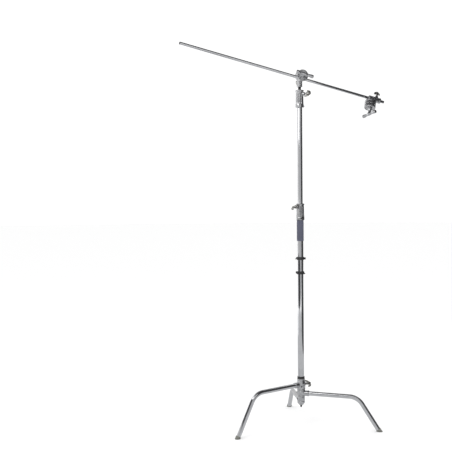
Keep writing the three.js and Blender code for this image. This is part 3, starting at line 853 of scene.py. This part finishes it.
def cable_clip(node, degrees):
    """A snap ring with an open hook on one side and a drooping tongue on the other."""
    low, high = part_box(node)
    half, r, eye, eye_r, hook_r, mouth = CLIP.values()
    inner = COLUMN["r"] + GAP
    band = hollow([(inner, -half), (r, -half), (r, half), (inner, half)])
    hook = placed(rod(hook_r, -6, 6), shift(x=eye))
    root = block((r - 1.5, eye), (-hook_r, hook_r), (-6, 6))
    tongue = placed(block((-9, 2), (-5, 5), (-2.5, 2.5)), turn(-30, "Y"), shift(x=-r))
    rib = placed(block((-6, 0), (-1.4, 1.4), (0, 5.5)), shift(x=-r + 1.5))
    for piece in (hook, root, tongue, rib):
        rounded(piece, 0.8, 3)
    clip = cast(0.42, 2, rounded(band, 0.8, 3), hook, root, tongue, rib)
    bore = rod(inner, -20, 20, FINE)
    slot = block((eye - mouth, eye + mouth), (0, 20), (-20, 20))
    cut(clip, bore, placed(rod(eye_r, -20, 20, SMALL), shift(x=eye)), slot)
    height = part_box("column_tube")[0].z  # the clip's own middle is its ring's, above the tongue's droop
    middle = high.z / MM - half
    return fitted(placed(clip, on_column(degrees, middle if height < middle else 0)), node)


# ---- grip heads ----


def head_body(head):
    barrel, above, below, disc = (HEAD[key] for key in ("barrel", "above", "below", "disc"))
    back, front = HEAD["fixed"]
    trunk = turned([
        (barrel - 1.2, -below), (barrel - 0.3, 0.7 - below), (barrel, 2 - below), (barrel, 7 - below),
        (barrel - 0.9, 8 - below), (barrel - 0.9, 10 - below), (barrel - 0.2, 11.4 - below), (barrel - 0.2, above - 9),
        (barrel, above - 6), (barrel, above - 2), (barrel - 0.4, above - 0.7), (barrel - 1.4, above),
    ])
    plate = placed(turned([
        (disc - 5, back), (disc - 1.5, back + 1), (disc - 0.3, back + 2.6), (disc, back + 4), (disc, back + 6.4),
        (disc - 0.8, back + 7.2), (disc - 0.8, back + 8.4), (disc, back + 9.2), (disc, front - 1), (disc - 0.7, front),
    ], FINE), TOWARDS_BOLT)
    neck = placed(turned([(13.6, 0), (14.3, 6), (17, back - 2), (20.5, back + 1.5)]), TOWARDS_BOLT)
    boss = placed(turned([(9.6, 0), (9.2, 18), (9, 20), (9, 22.6), (7.9, 24)]), ALONG_Y, shift(z=HEAD["lock"]))
    made = cast(0.62, 4, trunk, plate, neck, boss)
    bolt_hole = placed(rod(HEAD["bolt"] + GAP, back + 4, front + 2, SMALL), TOWARDS_BOLT)
    lock_hole = placed(turned([(4.9, 0), (4.9, 22), (5.8, 23.2), (5.8, 40)], SMALL), ALONG_Y, shift(z=HEAD["lock"]))
    bore = turned([(9.6, -80), (9.6, -below + 0.4), (HEAD["bore"], 1.8 - below), (HEAD["bore"], above - 1.6),
                   (9.4, above - 0.4), (9.4, 40)])
    cut(made, bore, bolt_hole, lock_hole)
    return fitted(placed(made, head_frame(head)), head + "_body")


def bolt(head):
    run = threads(HEAD["middle"][0] + 1, HEAD["outer"][1], HEAD["bolt"], 1.6)
    made = turned([(4.4, HEAD["fixed"][0] + 4.3), (5, HEAD["fixed"][0] + 5), (5, 28), *run, (5, 64),
                   (5, HEAD["bolt_end"] - 1), (4.2, HEAD["bolt_end"])], SMALL)
    return fitted(placed(made, TOWARDS_BOLT, head_frame(head)), head + "_bolt")


def rod_grooves(face):
    """Cutters for the rounded grooves across a jaw's inner face, each for a rod of another size."""
    (arm_at, arm_r), (small_at, small_r), (side_at, side_r) = GROOVES.values()
    return [
        placed(rod(arm_r, -60, 60), ALONG_X, shift(0, -face, -arm_at)),
        placed(rod(small_r, -60, 60), ALONG_X, shift(0, -face, small_at)),
        placed(rod(side_r, -60, 60), shift(-side_at, -face, 0)),
    ]


def groove_teeth(face):
    """Thin cutters that leave gripping teeth along the arm's groove."""
    (at, r), *_ = GROOVES.values()
    return joined(*[
        placed(hollow([(r - 1.5, x), (r + 0.55, x), (r + 0.55, x + 1.1), (r - 1.5, x + 1.1)], SMALL), ALONG_X,
               shift(0, -face, -at))
        for x in range(-24, 25, 4)
    ])


def jaw(head, part):
    back, front = HEAD[part]
    disc = HEAD["disc"]
    face = (HEAD["middle"][1] + HEAD["outer"][0]) / 2
    plate = placed(turned([
        (disc - 1.4, back), (disc - 0.3, back + 0.8), (disc, back + 2), (disc, front - 2), (disc - 0.3, front - 0.8),
        (disc - 1.4, front),
    ], FINE), TOWARDS_BOLT)
    tools = rod_grooves(face)
    if part == "outer":
        recess = hollow([(14.5, front - 1.8), (27, front - 1.8), (28, front + 2), (13.5, front + 2)], FINE)
        ribs = [block((-1.5, 1.5), (13, 29), (front - 3, front + 3)) for _ in range(3)]
        spokes = joined(*[placed(rib, turn(120 * i + 30)) for i, rib in enumerate(ribs)])
        cut(recess, spokes)
        tools.append(placed(recess, TOWARDS_BOLT))
    cut(plate, *tools)
    made = cast(0.58, 3, plate)
    pocket = (front - 4, front + 1) if part == "middle" else (back - 1, back + 4)
    hole = placed(rod(HEAD["bolt"] + 0.6, back - 2, front + 2, SMALL), TOWARDS_BOLT)
    cut(made, groove_teeth(face), hole, placed(rod(7.2, *pocket, SMALL), TOWARDS_BOLT))
    return fitted(placed(made, jaw_frame(head)), f"{head}_{part}_jaw")


def jaw_spring(head):
    """A short coil round the bolt, wound by a screw modifier."""
    low, high = HEAD["middle"][1] - 3.1, HEAD["outer"][0] + 3.1
    put_down()
    bpy.ops.mesh.primitive_circle_add(vertices=12, radius=0.6 * MM, fill_type="NOTHING",
                                      location=Vector((6.2, 0, low)) * MM, rotation=(pi / 2, 0, 0))
    coil = placed(bpy.context.object)
    modified(coil, "SCREW", angle=2.5 * 2 * pi, screw_offset=(high - low) * MM, steps=80, render_steps=80,
             use_normal_calculate=True)
    edited(coil)
    bpy.ops.mesh.select_all(action="DESELECT")
    bpy.ops.mesh.select_non_manifold()
    bpy.ops.mesh.edge_face_add()
    mended(coil)
    return fitted(placed(coil, TOWARDS_BOLT, jaw_frame(head)), head + "_jaw_spring", 50)


def washer(head, roll):
    low, high = HEAD["washer"]
    ring = hollow([(5.6, low), (10.5, low), (10.5, low + 0.7), (9.9, low + 0.8), (9.9, high - 0.8), (10.5, high - 0.7),
                   (10.5, high), (5.6, high)], MEDIUM)
    return fitted(placed(rounded(ring, 0.15), TOWARDS_BOLT, turn(roll, "Y"), head_frame(head)), head + "_washer")


def t_handle(head, roll):
    """A tapered stalk and a cross bar whose ends swell, melted into one casting."""
    low, high = HEAD["handle"]
    bar, r, tip, hub = HANDLE.values()
    middle = high - tip
    stalk = turned([(hub - 0.8, low), (hub, low + 1), (hub, low + 6), (hub - 1, low + 8), (hub - 2.8, low + 14),
                    (hub - 3.6, low + 22), (hub - 3.4, middle - 8), (hub - 2.6, middle)])
    half = [(r, 0), (r - 0.4, 6), (r - 1.5, 14), (r - 1.2, 24), (tip - 0.6, 34), (tip, 40), (tip, bar - 4),
            (tip - 0.9, bar - 1.4), (tip - 3, bar)]
    arms = placed(turned([(x, -z) for x, z in half[:0:-1]] + half), ALONG_X, shift(z=middle))
    web = trimmed(trimmed(block((-20, 20), (-2.6, 2.6), (middle - 24, middle)), (20, 0, middle - 5), (19, 0, -13)),
                  (-20, 0, middle - 5), (-19, 0, -13))
    made = cast(0.6, 4, stalk, arms, web)
    cut(made, rod(HEAD["bolt"] + 0.6, low - 2, HEAD["bolt_end"] + 1, SMALL))
    return fitted(placed(made, TOWARDS_BOLT, turn(roll, "Y"), head_frame(head)), head + "_handle")


def grip_heads():
    lock_wing = knob_wing(LOCK_KNOB)
    for head, roll, lock_roll in (("first_head", 16.7, 65), ("second_head", 19.4, 90)):
        head_body(head)
        bolt(head)
        jaw(head, "middle")
        jaw_spring(head)
        jaw(head, "outer")
        washer(head, roll)
        t_handle(head, roll)
        where = head_frame(head) @ shift(z=HEAD["lock"]) @ turn(90) @ turn(lock_roll, "X")
        fitted(placed(copied(lock_wing), where), head + "_lock_wing")
        fitted(placed(knob_stem(LOCK_KNOB, 8.7), where), head + "_lock_stem")
    discarded(lock_wing)


# ---- spigot and arm ----


def spigot():
    low, high = (corner.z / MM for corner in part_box("spigot"))
    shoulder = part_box("second_riser_tube")[1].z / MM + GAP
    made = turned([
        (10.2, low), (10.7, low + 0.6), (10.7, shoulder - 3), (10.7, shoulder), (10.4, shoulder + 0.6),
        (8.2, shoulder + 2.8), (8, shoulder + 4), (8, high - 22), (6.4, high - 20), (6.4, high - 12), (8, high - 10),
        (8, high - 1.2), (6.9, high),
    ])
    return fitted(placed(rounded(made, 0.2), on_column()), "spigot")


def bush(node, tube, outside):
    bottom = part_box(node)[0].z / MM
    inside = tube["r"] - tube["wall"]
    ring = hollow([
        (inside - 2.3, bottom), (outside, bottom), (outside, bottom + 7.7), (inside - GAP, bottom + 7.7),
        (inside - GAP, bottom + 24), (inside - 2.3, bottom + 24),
    ], MEDIUM)
    return fitted(placed(rounded(ring, 0.3), on_column()), node)


def pressure_pad(node, knob_name):
    """The brass pad between a T-knob's stem and the tube, with a domed rim."""
    near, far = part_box(node)
    where = knob_frame(knob_name, 0)
    start = ((near + far) / 2 - where.translation).length / MM - 1.5
    pad = turned([(3.6, start), (4.4, start + 0.5), (4.4, start + 2.5), (3.6, start + 3)], SMALL)
    return fitted(placed(pad, ALONG_X, where), node)


def holding_arm():
    """The arm's tube lies along the axis that it slides on."""
    ends = [mount for mount in frame["record"]["mounts"] if mount["name"].startswith("arm_")]
    left, right = (Vector(next(m["pos_m"] for m in ends if side in m["name"])) for side in ("left", "right"))
    where = axes_at(left, x=right - left, y=-joint_axis("first_head_tilt")) @ ALONG_X
    length, cap = (right - left).length / MM, 4
    fitted(placed(pipe(ARM["r"], ARM["wall"], cap, length - cap), where), "arm_tube")
    inside = ARM["r"] - ARM["wall"] - GAP
    plug = turned([
        (6, 0), (7, 0.4), (7.5, 1.4), (7.6, cap - 0.5), (7.6, cap - GAP), (inside, cap - GAP), (inside, 6), (inside - 0.4, 7),
        (inside - 0.4, 23), (inside - 1, 24),
    ], MEDIUM)
    dimple = turned([(2.4, -1), (2.4, 0.6), (1.6, 1)], SMALL)
    cut(plug, dimple)
    fitted(placed(copied(plug), where), "arm_left_plug")
    fitted(placed(plug, turn(180, "X"), shift(z=length), where), "arm_right_plug")


# ---- the stand ----

for tube_node, tube_size in (
    ("column_tube", COLUMN), ("first_riser_tube", FIRST_RISER), ("second_riser_tube", SECOND_RISER),
):
    upright_tube(tube_node, tube_size)
for leg_name, leg_size in LEGS.items():
    leg_tube(leg_name, leg_size)
    leg_foot(leg_name, leg_size)
base_hub()
right_knuckle()
sliding_casting()
liner()
base_plug()
casting_screws()
t_knobs()
collar("lower_collar", LOWER_COLLAR, 232)
collar("upper_collar", UPPER_COLLAR, -25)
grip_sleeve()
cable_clip("upper_cable_clip", -8)
cable_clip("lower_cable_clip", 148)
grip_heads()
spigot()
bush("first_riser_bush", FIRST_RISER, 15.6)
bush("second_riser_bush", SECOND_RISER, 13.1)
for pad_node, pad_knob in (
    ("sliding_leg_pad", "sliding_leg_knob"), ("lower_collar_pad", "lower_collar_knob"),
    ("upper_collar_pad", "upper_collar_knob"),
):
    pressure_pad(pad_node, pad_knob)
holding_arm()

# ---- studio ----

STAND_BACK = Vector((-0.0077, -4.6, 1.2883))  # from the column's foot to the camera
YAW, PITCH, ROLL, LENS = 5.12, -1.88, -0.47, 64.8


def camera():
    made = bpy.data.objects.new("camera", bpy.data.cameras.new("camera"))
    made.data.lens = LENS
    made.data.clip_end = 60
    made.matrix_world = Matrix.Translation(AXIS + STAND_BACK) @ turn(YAW) @ turn(90 + PITCH, "X") @ turn(ROLL)
    bpy.context.scene.collection.objects.link(made)
    bpy.context.scene.camera = made


def stage_finish(name, colour, roughness):
    paint = Paint(name)
    paint.set(base_color=colour, roughness=roughness)
    return paint.material


def floor():
    put_down()
    bpy.ops.mesh.primitive_circle_add(vertices=64, radius=40, fill_type="NGON", location=(0, 0, -0.0002))
    made = bpy.context.object
    made.name = "floor"
    made.data.materials.append(stage_finish("floor_paper", (0.94, 0.94, 0.94), 0.9))


def card(name, centre, size, facing, shade):
    """A card beside the set that only the bright metal sees: it darkens or greys one part of the reflections."""
    put_down()
    rotation = Vector(facing).to_track_quat("Z", "Y").to_euler()
    bpy.ops.mesh.primitive_plane_add(size=1, location=AXIS + Vector(centre), rotation=rotation)
    made = bpy.context.object
    made.scale = (*size, 1)
    made.name = name
    paint = Paint(name + "_cloth")
    paint.set(base_color=(0.02, 0.02, 0.02), roughness=1.0, emission_color=shade, emission_strength=1.0)
    made.data.materials.append(paint.material)
    made.visible_camera = made.visible_diffuse = made.visible_shadow = False


def softbox(name, place, size, power, aim=(0, 0, 1)):
    light = bpy.data.lights.new(name, "AREA")
    light.shape, light.size, light.size_y, light.energy = "RECTANGLE", *size, power
    made = bpy.data.objects.new(name, light)
    where = AXIS + Vector(place)
    made.location = where
    made.rotation_euler = (AXIS + Vector(aim) - where).to_track_quat("-Z", "Y").to_euler()
    bpy.context.scene.collection.objects.link(made)


def studio_air():
    """White air all round, which the bright metal sees dimmed to grey."""
    world = bpy.data.worlds.new("studio_air")
    world.use_nodes = True
    nodes, links = world.node_tree.nodes, world.node_tree.links
    seen = nodes.new("ShaderNodeLightPath")
    dimmed = nodes.new("ShaderNodeMapRange")
    dimmed.inputs["To Min"].default_value = 1.1
    dimmed.inputs["To Max"].default_value = 0.56
    links.new(seen.outputs["Is Glossy Ray"], dimmed.inputs["Value"])
    nodes["Background"].inputs["Color"].default_value = (1, 1, 1, 1)
    links.new(dimmed.outputs["Result"], nodes["Background"].inputs["Strength"])
    bpy.context.scene.world = world


camera()
floor()
card("right_card", (1.25, -0.3, 1.3), (2.5, 3.0), (-1, 0, 0), (0.015, 0.015, 0.017))
card("roof_card", (-0.2, 0.1, 3.3), (3.6, 3.4), (0, 0, -1), (0.02, 0.02, 0.024))
card("left_card", (-0.95, -0.69, 0.8), (2.1, 0.6), (0.81, 0.59, 0), (0.02, 0.02, 0.022))
card("front_card", (0, -7.5, 2.0), (9, 6), (0, 1, 0), (0.42, 0.425, 0.435))
card("bright_card", (-1.6, 0.9, 1.4), (1.1, 2.6), (1, -0.5, 0), (1.3, 1.3, 1.32))
card("floor_card", (0, 0, 0.0005), (8, 8), (0, 0, 1), (0.5, 0.505, 0.515))
studio_air()
softbox("key_light", (-2.2, -2.6, 3.6), (2.2, 2.2), 30)
bpy.context.scene.view_settings.view_transform = "Standard"
